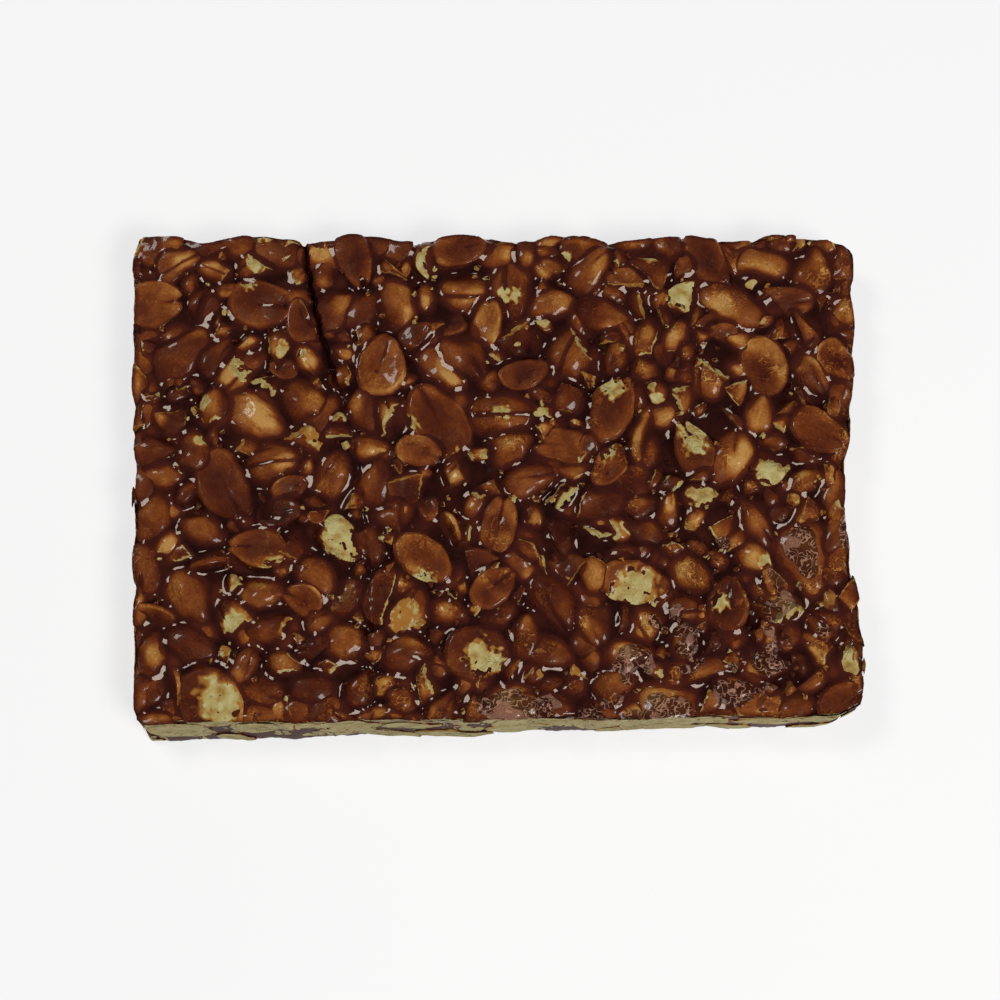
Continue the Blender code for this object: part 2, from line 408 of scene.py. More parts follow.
DOMED_HALVES = (
    (-64, 26, 15.5, 45), (-57, 25, 8.5, 60), (-48, 12, 13, -30), (-38, 15, 11, -35), (-38, 24, 7, -60),
    (-33, 0, 10.5, 60), (-61, 5, 9, 85), (-69, 5, 9, 0), (-68, 0, 10, -5), (-35, 43, 7, 70),
    (-33, 35, 10.5, 50), (-27, 35, 9.5, 50), (-26, 13, 10.5, -70), (-24, -2, 10.5, 80), (-20, 36, 12, -65),
    (7, 48, 7, 80), (20, 44, 11, 55), (23, 34, 11.5, -10), (-11, 23, 13.5, -55), (-6, 25, 13, -55),
    (3, 6, 9.5, 15), (7, -1, 9.5, 20), (25, 25, 7, 80), (29, 50, 8.5, 0), (36, 49, 7, -55),
    (56, 45, 10.5, -5), (66, 43, 11.5, 80), (72, 45, 9, 85), (49, 36, 13.5, -30), (65, 22, 11.5, -55),
    (54, 13, 8.5, 80), (48, 3, 13, 75), (63, -1, 6.5, 20), (70, -6, 9.5, 80), (29, -7, 7, 20),
    (35, -7, 6.5, 80), (31, -12, 8.5, -30), (39, -20, 9.5, -30), (52, -10, 10.5, -60), (52, -17, 8.5, -45),
    (62, -17, 16, -70), (68, -12, 8.5, 60), (26, -36, 10, 0), (24, -42, 9, 30), (33, -46, 15.5, 0),
    (53, -38, 9.5, -10), (47, -43, 7.5, 0), (58, -47, 9.5, 10), (13, -12, 9.5, -70), (12, -26, 13, -55),
    (20, -30, 10, -70), (6, -33, 8.5, 80), (11, -36, 9, -20), (1, -29, 8, 40), (-17, -36, 10, 0),
    (-9, -28, 7.5, -20), (-10, -47, 7.5, 60), (-4, -47, 6, 85), (4, -46, 12.5, 15), (11, -47, 8, 0),
    (-68, -8, 10, 90), (-58, -11, 10, -30), (-60, -25, 13, -50), (-59, -35, 11, -30), (-67, -36, 8.5, 85),
    (-46, -24, 9.5, 0), (-35, -21, 9, -40), (-25, -14, 9, -65), (-29, -34, 9, -20), (-49, -39, 7.5, 60),
    (-45, -43, 9, -20), (-35, -43, 9.5, -5), (-66, -50, 7.5, 0), (-26, -43, 7.5, 70),
)
EDGE_ON_HALVES = (
    (32, 8, 14.5, 80), (-9, -11, 7.5, -60), (-56, -19, 9.5, 15), (-67, -29, 8.5, -10), (-63, -43, 8.5, -70),
)
BROKEN_NUTS = (
    (-52, 22, 11.5, 45), (-21, 12, 9, -70), (-49, 45, 9.5, 20), (-14, 46, 8, -75), (16, 27, 14, 65),
    (39, 38, 8, 30), (44, 22, 12, 80), (56, 1, 8.5, 30), (42, -5, 8.5, -15), (58, -28, 10, -30),
    (69, -38, 8, 75), (-31, -13, 10.5, -50), (-50, -30, 11.5, -50),
)
CHUNKS = (
    (-57, 14, 8.5, 80), (-44, 28, 7, 80), (-31, 21, 6, 30), (12, 36, 9.5, 15), (15, 16, 9.5, 70),
    (37, 29, 7.5, 60), (38, 16, 8.5, 80), (37, -34, 8.5, 85), (20, -20, 8, 85), (-18, -45, 7, -60),
    (-44, -31, 8.5, 10), (-41, -38, 7, -20),
)
tables = (OPEN_HALVES, WHOLE_NUTS, DOMED_HALVES, EDGE_ON_HALVES, BROKEN_NUTS, CHUNKS)
TABLE_MIDDLE = (0.2, 0.7)  # the tables are measured from here, the middle of the top face


def placed(table):
    """The rows of a table, moved from the middle of the top face to the frame's origin."""
    return [(x + TABLE_MIDDLE[0], y + TABLE_MIDDLE[1], *rest) for x, y, *rest in table]


print("placed by hand:", sum(len(table) for table in tables))

# %% [markdown]
# ## Keeping count of the space
# Later nuts fill the gaps between these. To test a gap quickly, every nut is three discs in a row along
# its length, and a new nut fits where none of its discs overlaps one already there.

# %% Discs and packing


class Ground:
    """The discs already covered, with a test for free space."""

    def __init__(self):
        self.discs = np.empty((0, 3))

    @staticmethod
    def discs_of(x, y, length, turn, width=HALF_WIDTH_RATIO):
        radius = length * width
        reach = length / 2 - radius
        angle = math.radians(turn)
        return np.array([
            (x + step * reach * math.cos(angle), y + step * reach * math.sin(angle), radius)
            for step in (-1, 0, 1)
        ])

    def cover(self, discs):
        self.discs = np.vstack((self.discs, discs))

    def free(self, discs, gap):
        across = discs[:, None, :2] - self.discs[None, :, :2]
        reach = discs[:, None, 2] + self.discs[None, :, 2] + gap
        return bool(np.all(np.hypot(across[..., 0], across[..., 1]) >= reach))


SCORE_LINE = (
    (-39.9, 53), (-38.9, 45), (-37.7, 38.8), (-36, 31.2), (-34.3, 25.4), (-31.6, 17.4), (-29, 9), (-27.5, 0.7),
    (-26.5, -7.5), (-25.3, -17.6), (-24.8, -28), (-24.4, -38), (-24, -50),
)


def score_x(y):
    """How far across the knife's score line is, at a place along the depth."""
    line = np.array(placed(SCORE_LINE))[::-1]
    return np.interp(y, line[:, 1], line[:, 0])


def pack(ground, rng, length, tries, gap):
    """Places and headings for kernels of one length, wherever they clear what is there."""
    found = []
    for _ in range(tries):
        x, y = rng.uniform(low[0], high[0]), rng.uniform(low[1], high[1])
        turn = rng.uniform(0, 180)
        size = length * rng.uniform(0.85, 1.15)
        discs = ground.discs_of(x, y, size, turn)
        if abs(x - score_x(y)) < size * HALF_WIDTH_RATIO or not ground.free(discs, gap):
            continue
        ground.cover(discs)
        found.append((x, y, size, turn))
    return found


# %% [markdown]
# ## The top layer
# Crests sit within a millimetre of the slab's full thickness. Broken nuts get one or two crack planes and
# chunks get five. `tone` is the roast: 0 is pale gold, 1 is nearly black. It varies from nut to nut, as
# in any roasting drum.

# %% Laying the listed nuts
TOP = high[2] - 0.05
VISIBLE_TO_TRUE = 1.2  # part of each nut's outline is hidden in the sugar
domes, opens, wholes, broken_nuts, chunks = (
    Batch(name, number)
    for number, name in enumerate(("domed_halves", "open_halves", "whole_nuts", "broken_nuts", "nut_chunks"))
)
ground = Ground()
rng = np.random.default_rng(SEED)

for x, y, length, turn in placed(DOMED_HALVES):
    domes.lay(x, y, length * VISIBLE_TO_TRUE, turn, TOP - rng.uniform(0, 0.9), "domed", rng.normal(0.59, 0.10),
              width=rng.uniform(0.3, 0.37), cracks=facets(rng, rng.integers(0, 3)), paleness=0)
for x, y, length, turn, mouth in placed(OPEN_HALVES):
    opens.lay(x, y, length * 1.03, turn, TOP - rng.uniform(0.1, 0.7), "open", rng.normal(0.56, 0.08), 5, tilt=4,
              width=rng.uniform(0.29, 0.4), mouth=mouth)
for x, y, length, turn in placed(EDGE_ON_HALVES):
    opens.lay(x, y, length, turn, TOP - rng.uniform(0.1, 0.6), "edge", rng.normal(0.54, 0.07), 5)
for x, y, length, turn in placed(WHOLE_NUTS):
    wholes.lay(x, y, length * VISIBLE_TO_TRUE, turn, TOP - rng.uniform(0, 0.5), "whole", rng.normal(0.52, 0.07), 5,
               cracks=facets(rng, 1), paleness=0)
for x, y, length, turn in placed(BROKEN_NUTS):
    cracks = [((rng.uniform(0.2, 1), rng.uniform(-1, 1), rng.uniform(0.5, 1.4)), rng.uniform(0.28, 0.4))]
    broken_nuts.lay(
        x, y, length * 1.1, turn, TOP - rng.uniform(0, 0.6), "whole", rng.normal(0.52, 0.07), 5,
        cracks=cracks, paleness=rng.uniform(0.5, 0.9),
    )
for x, y, length, turn in placed(CHUNKS):
    cracks = [(rng.normal(size=3), rng.uniform(0.5, 0.7)) for _ in range(5)]
    chunks.lay(
        x, y, length * 1.15, turn, TOP - rng.uniform(0.2, 1.0), "lump", rng.normal(0.52, 0.1), 4,
        cracks=cracks, paleness=rng.uniform(0.2, 0.8),
    )
for table in tables:
    for x, y, length, turn, *_ in placed(table):
        ground.cover(ground.discs_of(x, y, length, turn))
print("domes", domes.kernels, "open", opens.kernels, "whole", wholes.kernels, "broken", broken_nuts.kernels)

# %% [markdown]
# ## Filling in
# Between the large nuts lie smaller halves and broken bits, a little lower, and under those a second
# layer that only shows as lighter clouds in the dark sugar. Sizes step down so that big gaps are filled
# by big pieces first, which is how shaking packs a jar.

# %% Fillers and the layer below
fillers, lower = Batch("small_halves", 10), Batch("lower_nuts", 11)


def upright_cracks(rng, most):
    """One to a few steep crack planes, which turn a half into an angular shard."""
    directions = rng.uniform(0, math.tau, rng.integers(1, most + 1))
    return [((math.cos(a), math.sin(a), rng.uniform(-0.1, 0.6)), rng.uniform(0.1, 0.55)) for a in directions]


for length, tries, sink in ((9.5, 1500, 1.0), (7.5, 2500, 1.2), (5.8, 3500, 1.3), (4.4, 4000, 1.4)):
    for x, y, size, turn in pack(ground, rng, length, tries, -0.9):
        form = rng.choice(["domed", "open", "domed", "domed", "whole"])
        broken = rng.random() < 0.7
        fillers.lay(
            x, y, size * (1.45 if broken else 1.2), turn, TOP - rng.uniform(0.3, 1.1) * sink, form,
            rng.normal(0.6, 0.12), 4 if length > 6 else 3, tilt=11, cracks=upright_cracks(rng, 3) if broken else facets(rng, 2),
            paleness=rng.choice([0, 0.15, 0.3, 0.5, 0.9]),
        )
for x, y, size, turn in pack(ground, rng, 3.2, 6000, -0.3):
    cracks = [(rng.normal(size=3), rng.uniform(0.3, 0.65)) for _ in range(6)]
    chunks.lay(
        x, y, size * 1.35, turn, TOP - rng.uniform(0.7, 1.8), "lump", rng.normal(0.56, 0.13), 3,
        cracks=cracks, paleness=rng.choice([0, 0.2, 0.5, 0.9]),
    )
below = Ground()
for x, y, size, turn in pack(below, rng, 11, 2500, -1.5):
    lower.lay(x, y, size, turn, TOP - rng.uniform(1.5, 2.6), "domed", rng.normal(0.56, 0.08), 3, tilt=15)
print("fillers", fillers.kernels, "chunks", chunks.kernels, "lower", lower.kernels)

# %% [markdown]
# ## Flakes and films
# A few nuts have lost a flake, and the bare, cream-coloured insides catch the eye. One flake leaves two
# or three small faces side by side, so each spot of the table is broken up at random before the faces are
# pressed in. Towards the front right, the slab was pressed against crinkled wrapping, which left greyish,
# wrinkled films on the highest nuts. Both are lists of across, back and radius (for films, two) in mm.

# %% Pale flakes and wrinkled films
PALE_FLAKES = (
    (-54.3, -45.8, 3.7), (28.2, -23, 3.4), (-13.7, -21, 1.8), (-6.5, 3.8, 1.5), (-17.5, 10.5, 1.2), (-3.3, -36.1, 1.9), (-1.3, -38.6, 2.1),
    (-50.2, -30.2, 2.2), (68.5, -38.5, 3.4), (23.7, 18.5, 1.8), (39.9, 8.8, 2.4), (41.6, -3.6, 2.2),
    (55.5, 0.7, 2.6), (38.6, 38.4, 2.4), (-14.1, 45.6, 1.4), (-31.1, -9.7, 2.4), (2, 38.1, 1), (4.3, 38.1, 1),
    (22.1, 4.6, 1.6), (65.3, -1.6, 1), (70.1, -5.7, 1.2), (53.7, -17.8, 1.2), (44.5, -25.8, 1.2),
    (58.2, -27.6, 1.4), (32.2, 46.2, 1.2), (1.2, 13, 1.2), (-39.6, 25.2, 0.8), (-59.2, 6.7, 1),
    (-49.4, 44, 1.2), (-51.3, 40.8, 1), (-32.5, -14.8, 1.4), (-44.3, -18.2, 1.6), (-63.8, 19.3, 1),
    (-66.1, -17.8, 1.4),
)
WRINKLED_FILMS = (
    (59.5, -18.5, 4.2, 8), (52.6, -39, 5, 4), (46.5, -43.5, 3.5, 2.4), (32, -46.5, 7, 3.4), (27.4, -38.4, 3.4, 3.2),
    (38.2, -35, 2.6, 4.3), (33.7, -28.3, 3.2, 2.4), (57.7, -29, 5, 3.8), (64.8, -31.5, 1, 1), (69, -33.6, 1.1, 1.1),
    (5, -46, 6.5, 3), (19, -47, 3, 2.6), (70.5, -12, 1.6, 3), (45.5, -14, 1.2, 1.2),
)


def flake(x, y, radius, rng):
    """Presses one small face into the highest nut at a place and bares it. Returns whether it met one."""
    def level(part):
        near = np.hypot(part["points"][:, 0] - x, part["points"][:, 1] - y) < max(radius, 0.9)
        return part["points"][near, 2].max() if near.any() else 0

    part = max((part for batch in (domes, opens, wholes, broken_nuts, chunks, fillers) for part in batch.parts),
               key=level)
    crest = level(part)
    points = part["points"]
    uneven = 1 + 0.28 * lumps(points, max(1.3, radius * 1.4), rng)
    away = np.hypot(points[:, 0] - x, points[:, 1] - y) / radius * uneven
    upper = points[:, 2] > crest - 2.5
    ring = upper & (away > 0.6) & (away < 1.5)
    if crest < TOP - 3 or ring.sum() < 4:
        return False
    rows = np.column_stack((points[:, :2] - (x, y), np.ones(len(points))))
    plane = rows @ np.linalg.lstsq(rows[ring], points[ring, 2], rcond=None)[0]
    over = points[:, 2] - plane
    hit = upper & (away < 1.5)
    pressed = hit & (over > 0)
    points[pressed, 2] -= over[pressed] * 0.9
    points[hit, 2] += 0.02 * lumps(points[hit], 1.1, rng)
    fringe = upper & (away < 2.0)
    part["bare"][fringe] = np.maximum(part["bare"][fringe], smooth(2.0, 0.6, away[fringe]))
    return True


rng = np.random.default_rng(SEED + 60)
flakes = [
    flake(x + rng.normal(0, 0.36) * radius, y + rng.normal(0, 0.36) * radius, radius * rng.uniform(0.45, 0.76), rng)
    for x, y, radius in placed(PALE_FLAKES)
    for _ in range(4)
]
print(sum(flakes), "flakes of", len(flakes), "met a nut")


def pressed_film(points):
    """Where the wrinkled film lies: 1 in the middle of a spot, 0.5 at its edge and 0 well outside."""
    nearest = np.full(len(points), 9.0)
    for x, y, across, back_and_forth in placed(WRINKLED_FILMS):
        away = np.hypot((points[:, 0] - x) / across, (points[:, 1] - y) / back_and_forth)
        nearest = np.minimum(nearest, away)
    return smooth(1.7, 0.6, nearest) * smooth(TOP - 2.2, TOP - 1.2, points[:, 2])


# %% [markdown]
# ## Nuts in the sides and the underside
# The knife went straight through the nuts along the front, so that side is a row of long, pale slivers
# with thin dark seams. The other sides were broken or rolled and show more rounded brown skin. On the
# underside the nuts were pressed against the tray. All of these are whole ovals laid in rows; cutting
# them at the outline, which `lay` does, makes the flat faces.

# %% Rows along the sides
side_nuts, bottom_nuts = Batch("side_nuts", 20), Batch("underside_nuts", 21)
ROW_HEIGHTS = (1.3, 3.7, 6.1, 7.9)


def lay_side(side, inward_least, inward_most, tone):
    """Four rows of kernels along one side, staggered like bricks."""
    heading = 0 if side.along == 0 else 90
    for row, height in enumerate(ROW_HEIGHTS):
        place = low[side.along] + row * 3.1 - 2
        while place < high[side.along] - 1:
            length = rng.uniform(6.5, 16)
            middle = place + length / 2
            inwards = side.at(middle, height) - side.outwards * rng.uniform(inward_least, inward_most)
            x, y = (middle, inwards) if side.along == 0 else (inwards, middle)
            thick = rng.uniform(1.0, 1.4)
            side_nuts.lay(
                x, y, length * 1.06, heading + rng.normal(0, 9), height + thick + rng.uniform(-0.5, 0.4), "lump",
                rng.normal(tone, 0.08), 4 if row == 3 else 3, width=0.3, tilt=5, height=thick / (0.8 * 0.3 * length * 1.06), gathered=1,
            )
            place += length - 0.3


lay_side(front, -0.4, 1.4, 0.52)
lay_side(back, 1.5, 3.2, 0.54)
lay_side(left, 0.4, 2.6, 0.54)
lay_side(right, 0.8, 2.8, 0.54)
under = Ground()
for length, tries in ((12.5, 2500), (9, 3000), (6.5, 3500)):
    for x, y, size, turn in pack(under, rng, length, tries, 0.15):
        if inside_by(x, y) > 3.5:
            bottom_nuts.lay(
                x, y, size * 1.1, turn, rng.uniform(2.6, 3.4), "lump", rng.normal(0.45, 0.1), 3, tilt=4, gathered=1,
            )
print("side nuts", side_nuts.kernels, "underside nuts", bottom_nuts.kernels)

# %% [markdown]
# ## The score line
# While the slab was warm, the knife marked a line across it, and the sugar ran back into the groove in
# places. The groove is a V that is pressed into the nuts here and into the sugar later. It is also drawn
# darker, as painted shade in the groove.

# %% Scoring


def score_depth(x, y, width):
    """How deep the groove is at places, for a groove of this width, in mm."""
    places = np.stack((np.ravel(x), np.ravel(y)), 1)
    closed_up = smooth(-0.2, 0.9, lumps(places, 13, np.random.default_rng(SEED + 31))).reshape(np.shape(x))
    wander = 0.35 * lumps(places[:, 1:], 4, np.random.default_rng(SEED + 32), 3).reshape(np.shape(x))
    off_line = np.abs(x - score_x(y) - wander)
    strength = 0.6 - 0.45 * closed_up + 2.2 * smooth(12, 28, y)
    return strength * smooth(width / 2, 0.1, off_line)


for batch in (domes, opens, wholes, broken_nuts, chunks, fillers, lower, side_nuts):
    for part in batch.parts:
        points = part["points"]
        groove = score_depth(points[:, 0], points[:, 1], 1.5)
        upper = points[:, 2] > TOP - 4
        points[upper, 2] -= groove[upper] * 0.9
        # Adding the groove to the sugar draws it darker: painted shade in the knife's groove.
        part["sugar"] = part["sugar"] + groove
print("deepest groove", round(float(score_depth(score_x(np.array([40.0])), np.array([40.0]), 2.0)[0]), 1), "mm")

# %% [markdown]
# ## Feeling the nuts from above
# The sugar surface depends on the nuts, so we first measure them: a ray is dropped on every point of a
# fine square grid, and the height and roast of the nut it meets are stored. A BVH tree sorts the triangles in
# space, so that each of the rays tests only a few of them.

# %% A height map of the nuts
SPACING = 0.3
MARGIN = 3.0
SUGAR_FLOOR = 5.5
top_batches = (domes, opens, wholes, broken_nuts, chunks, fillers, lower, side_nuts)


class Map:
    """Numbers on a square grid over the slab, read between its points by blending the nearest four."""

    xs = np.arange(low[0] - MARGIN, high[0] + MARGIN, SPACING)
    ys = np.arange(low[1] - MARGIN, high[1] + MARGIN, SPACING)

    def __init__(self, values):
        self.values = values

    def at(self, x, y):
        across = np.clip((x - self.xs[0]) / SPACING, 0, len(self.xs) - 1.001)
        up = np.clip((y - self.ys[0]) / SPACING, 0, len(self.ys) - 1.001)
        i, j = across.astype(int), up.astype(int)
        s, t = across - i, up - j
        v = self.values
        return (v[j, i] * (1 - s) + v[j, i + 1] * s) * (1 - t) + (v[j + 1, i] * (1 - s) + v[j + 1, i + 1] * s) * t


def drop_rays(batches):
    """Heights and tones of the nuts on the grid, SUGAR_FLOOR where there is none."""
    points = np.concatenate([batch.all("points") for batch in batches])
    tones = np.concatenate([batch.all("tone") for batch in batches])
    starts = np.cumsum([0] + [batch.count for batch in batches])
    faces = np.concatenate([f + start for batch, start in zip(batches, starts) for f in batch.faces])
    tree = BVHTree.FromPolygons(points.tolist(), faces.tolist())
    heights = np.full((len(Map.ys), len(Map.xs)), SUGAR_FLOOR)
    roast = np.full(heights.shape, 0.5)
    down = Vector((0, 0, -1))
    for j, y in enumerate(Map.ys):
        for i, x in enumerate(Map.xs):
            place, _, face, _ = tree.ray_cast(Vector((x, y, 20)), down)
            if place and place.z > SUGAR_FLOOR:
                heights[j, i] = place.z
                roast[j, i] = tones[faces[face][0]]
    return heights, roast


nut_heights, nut_tones = drop_rays(top_batches)
print("grid", nut_heights.shape, "nut heights", round(float(nut_heights.mean()), 2), "mm on average")

# %% [markdown]
# ## The skin of the sugar
# Hot sugar clings to the nuts, bridges narrow gaps with smooth curves and lies in pools where there is
# room. Rolling a ball over the nuts finds that surface: wherever the ball can't reach, sugar stays.
# In image processing this is called a closing, first the highest reach of the ball (dilation), then the
# lowest (erosion). Two ball sizes are blended, since some places are filled more than others.

# %% Rolling a ball over the nuts


def slide(values, rows, columns):
    """The map moved by whole steps, its edge repeated."""
    high_j, high_i = values.shape
    j = np.clip(np.arange(high_j) + rows, 0, high_j - 1)
    i = np.clip(np.arange(high_i) + columns, 0, high_i - 1)
    return values[np.ix_(j, i)]


def roll_ball(heights, radius):
    """Fills every hollow that a ball of this radius can't touch."""
    steps = int(radius / SPACING)
    shifts = [
        (j, i, math.sqrt(radius * radius - (i * i + j * j) * SPACING * SPACING) - radius)
        for j in range(-steps, steps + 1)
        for i in range(-steps, steps + 1)
        if (i * i + j * j) * SPACING * SPACING < radius * radius
    ]
    swollen = np.maximum.reduce([slide(heights, j, i) + drop for j, i, drop in shifts])
    return np.minimum.reduce([slide(swollen, j, i) - drop for j, i, drop in shifts])


def blur(values, times):
    for _ in range(times):
        for rows, columns in ((1, 0), (0, 1)):
            values = (slide(values, rows, columns) + 2 * values + slide(values, -rows, -columns)) / 4
    return values


map_x, map_y = np.meshgrid(Map.xs, Map.ys)
flat_places = np.stack((map_x.ravel(), map_y.ravel()), 1)
fullness = smooth(-0.8, 1.2, lumps(flat_places, 16, np.random.default_rng(SEED + 30))).reshape(map_x.shape)
tight, loose = roll_ball(nut_heights, 1.0), roll_ball(nut_heights, 2.2)
pool = TOP - 3.4 + 1.4 * fullness
skin = np.maximum(tight * (1 - fullness) + loose * fullness, pool)
skin = blur(skin, 8)

skin -= score_depth(map_x, map_y, 1.2)

# Near the sides the sugar rolls over the edge
to_side = inside_by(map_x, map_y)
skin -= 0.9 * smooth(1.6, 0.0, to_side) ** 2
sunk = 0.13 * np.exp(-np.maximum(skin - nut_heights, 0) / 0.15)
skin_map = Map(skin - sunk)
nut_map, tone_map = Map(nut_heights), Map(blur(nut_tones, 1))
covered = (skin - sunk - nut_heights)[inside_by(map_x, map_y) > 1]
print("sugar covers the nuts by", round(float(covered.mean()), 2), "mm on average,", round((covered < 0).mean(), 2), "bare")

# %% [markdown]
# ## From map to mesh
# The core of sugar is one closed mesh. Its top is a grid stretched over the outline and lifted to the
# skin, its walls hang from the rim in rows, and a flat face closes the bottom. The walls are a little
# rough, as sugar is where it snaps.

# %% Building the sugar core
COLUMNS, ROWS = 346, 238
WALL_ROWS = 8
UNDERSIDE = 0.12
CORNER_SOFTNESS = 2.0


def spread(u, v, height):
    """Turns shares across and back, from 0 to 1, into a place inside the outline at a height."""
    y_guess = front.rim.min() + (back.rim.max() - front.rim.min()) * v
    x = left.at(y_guess, height) + (right.at(y_guess, height) - left.at(y_guess, height)) * u
    y = front.at(x, height) + (back.at(x, height) - front.at(x, height)) * v
    return x, y


def round_corners(points):
    """Presses points near the corners inwards, the more the further out, without ever folding over."""
    for corner in CORNERS:
        into = np.maximum(corner.over(points) + CORNER_SOFTNESS, 0)
        eased = CORNER_SOFTNESS * (1 - np.exp(-into / CORNER_SOFTNESS))
        points[:, :2] -= (into - eased)[:, None] * corner.direction


def build_core():
    """Points and faces of the sugar, and how many of the points belong to the top."""
    v, u = np.meshgrid(np.linspace(0, 1, ROWS + 1), np.linspace(0, 1, COLUMNS + 1), indexing="ij")
    x, y = spread(u, v, RIM_HEIGHT)
    top = np.stack((x, y, np.full(x.shape, TOP)), 2).reshape(-1, 3)
    round_corners(top)
    top[:, 2] = skin_map.at(top[:, 0], top[:, 1])
    index = np.arange(len(top)).reshape(ROWS + 1, COLUMNS + 1)
    faces = np.stack((index[:-1, :-1], index[:-1, 1:], index[1:, 1:], index[1:, :-1]), 2).reshape(-1, 4).tolist()
    rim = np.concatenate((index[0, :-1], index[:-1, -1], index[-1, :0:-1], index[:0:-1, 0]))
    rng = np.random.default_rng(SEED + 40)
    points, ring = [top], rim
    for row in range(1, WALL_ROWS + 1):
        share = row / WALL_ROWS
        height = top[rim, 2] * (1 - share) + UNDERSIDE * share
        wall = np.stack((*spread(u.ravel()[rim], v.ravel()[rim], height), height), 1)
        round_corners(wall)
        rough = 0.18 + 0.16 * np.abs(lumps(wall, 3.2, np.random.default_rng(SEED + 41)))
        rough += 0.05 * rng.uniform(0, 1, len(wall))
        wall[:, :2] -= wall[:, :2] / np.linalg.norm(wall[:, :2], axis=1, keepdims=True) * rough[:, None]
        below = len(top) + (row - 1) * len(rim) + np.arange(len(rim))
        for k in range(len(rim)):
            after = (k + 1) % len(rim)
            faces.append([ring[k], below[k], below[after], ring[after]])
        points.append(wall)
        ring = below
    faces.append(ring[::-1].tolist())
    return np.concatenate(points), faces, len(top)


core_points, core_faces, top_count = build_core()
print("sugar core:", len(core_points), "points,", len(core_faces), "faces")

# %% [markdown]
# ## Reading colour from thickness
# Clear sugar tints what lies under it: the thicker it is, the darker and redder. That is the one idea
# behind all the colours here. Each point gets a `shade` from 0 to 1 that grows with the roast of the nut
# and, like light fading in tea, with the sugar above it.

# %% Shades from sugar thickness
DARKENING = 1.2  # mm of sugar that hides about two thirds of a nut's colour
film_map = Map(blur(smooth(0.0, 0.6, skin - nut_heights), 5))  # half at the sugar line, fading up the nuts
FILM_AT_LINE = 0.75
RIND = 0.4  # extra sugar on the sides


def shade_of(tone, thickness):
    return 1 - (1 - np.clip(tone, 0, 1)) * np.exp(-np.maximum(thickness, 0) / DARKENING)


def nut_shade(batch):
    """Nuts are bare-coloured on top and darker towards the sugar that they stand in."""
    points = batch.all("points")
    film = FILM_AT_LINE * 2 * film_map.at(points[:, 0], points[:, 1])
    film += RIND * smooth(1.2, 0.0, inside_by(points[:, 0], points[:, 1]))
    return shade_of(batch.all("tone"), film + batch.all("sugar"))


def core_shade():
    x, y, z = core_points.T
    over = z - nut_map.at(x, y)
    # The score groove's depth is counted as sugar, which darkens it: painted shade in the groove.
    shade = shade_of(tone_map.at(x, y), np.maximum(over, 0) + FILM_AT_LINE + score_depth(x, y, 1.5))
    shade[top_count:] = 0.86
    return shade


# %% [markdown]
# ## Shader sums
# The materials need arithmetic between nodes. Wiring Math nodes by hand hides the formula, so a small
# class wraps a socket: adding or multiplying two of them adds the Math node for us.

# %% A socket that can be used in sums


class Wire:
    """An output socket. Sums and products with numbers or other wires add Math nodes."""

    def __init__(self, finish, socket):
        self.finish, self.socket = finish, socket

    def math(self, operation, *values):
        return self.finish.node("ShaderNodeMath", {"operation": operation}, dict(enumerate(values)))

    def __add__(self, other):
        return self.math("ADD", self, other)

    def __sub__(self, other):
        return self.math("SUBTRACT", self, other)

    def __rsub__(self, other):
        return self.math("SUBTRACT", other, self)

    def __mul__(self, other):
        return self.math("MULTIPLY", self, other)

    __radd__, __rmul__ = __add__, __mul__

    def ramp(self, start, end):
        """0 before start and 1 after end."""
        limits = {"Value": self, "From Min": start, "From Max": end}
        return self.finish.node("ShaderNodeMapRange", {"interpolation_type": "SMOOTHSTEP"}, limits)


class Finish:
    """A material being put together."""

    def __init__(self, name):
        self.material = bpy.data.materials.new(name)
        self.material.use_nodes = True
        self.tree = self.material.node_tree
        self.surface = self.tree.nodes["Principled BSDF"].inputs

    def feed(self, socket, value):
        if isinstance(value, Wire):
            self.tree.links.new(value.socket, socket)
        else:
            socket.default_value = value

    def node(self, kind, settings=None, inputs=None, output=0):
        """Adds a node: its settings first, then values or wires for its inputs. Returns one output."""
        node = self.tree.nodes.new(kind)
        for name, value in (settings or {}).items():
            if name == "stops":
                self.set_stops(node.color_ramp, value)
            else:
                setattr(node, name, value)
        for name, value in (inputs or {}).items():
            self.feed(node.inputs[name], value)
        return Wire(self, node.outputs[output])

    @staticmethod
    def set_stops(ramp, stops):
        while len(ramp.elements) < len(stops):
            ramp.elements.new(1)
        for element, (place, colour) in zip(ramp.elements, stops):
            element.position, element.color = place, colour

    def trait(self, name, output="Fac"):
        return self.node("ShaderNodeAttribute", {"attribute_name": name}, output=output)

    def noise(self, place, size_mm, detail=2.0):
        """Noise from 0 to 1 with features of about this size."""
        inputs = {"Vector": place, "Scale": 1 / (size_mm * MM), "Detail": detail}
        return self.node("ShaderNodeTexNoise", None, inputs)

    def blend(self, share, first, second):
        inputs = {"Factor": share, "A": first, "B": second}
        return self.node("ShaderNodeMix", {"data_type": "RGBA"}, inputs, "Result")


# %% [markdown]
# ## The colours of caramel
# As measured, sugar over nuts runs through one path of colours, from gold through chestnut to a
# brown that is nearly black. A Color Ramp holds that path once, and every surface looks its shade up on
# it. The colours are written as 0 to 255, as a colour picker shows them, and turned into linear light.

# %% Colours and ramps


def paint(red, green, blue):
    """A colour picker's numbers as linear light."""
    shares = [channel / 255 for channel in (red, green, blue)]
    linear = [s / 12.92 if s <= 0.04045 else ((s + 0.055) / 1.055) ** 2.4 for s in shares]
    return (*linear, 1)


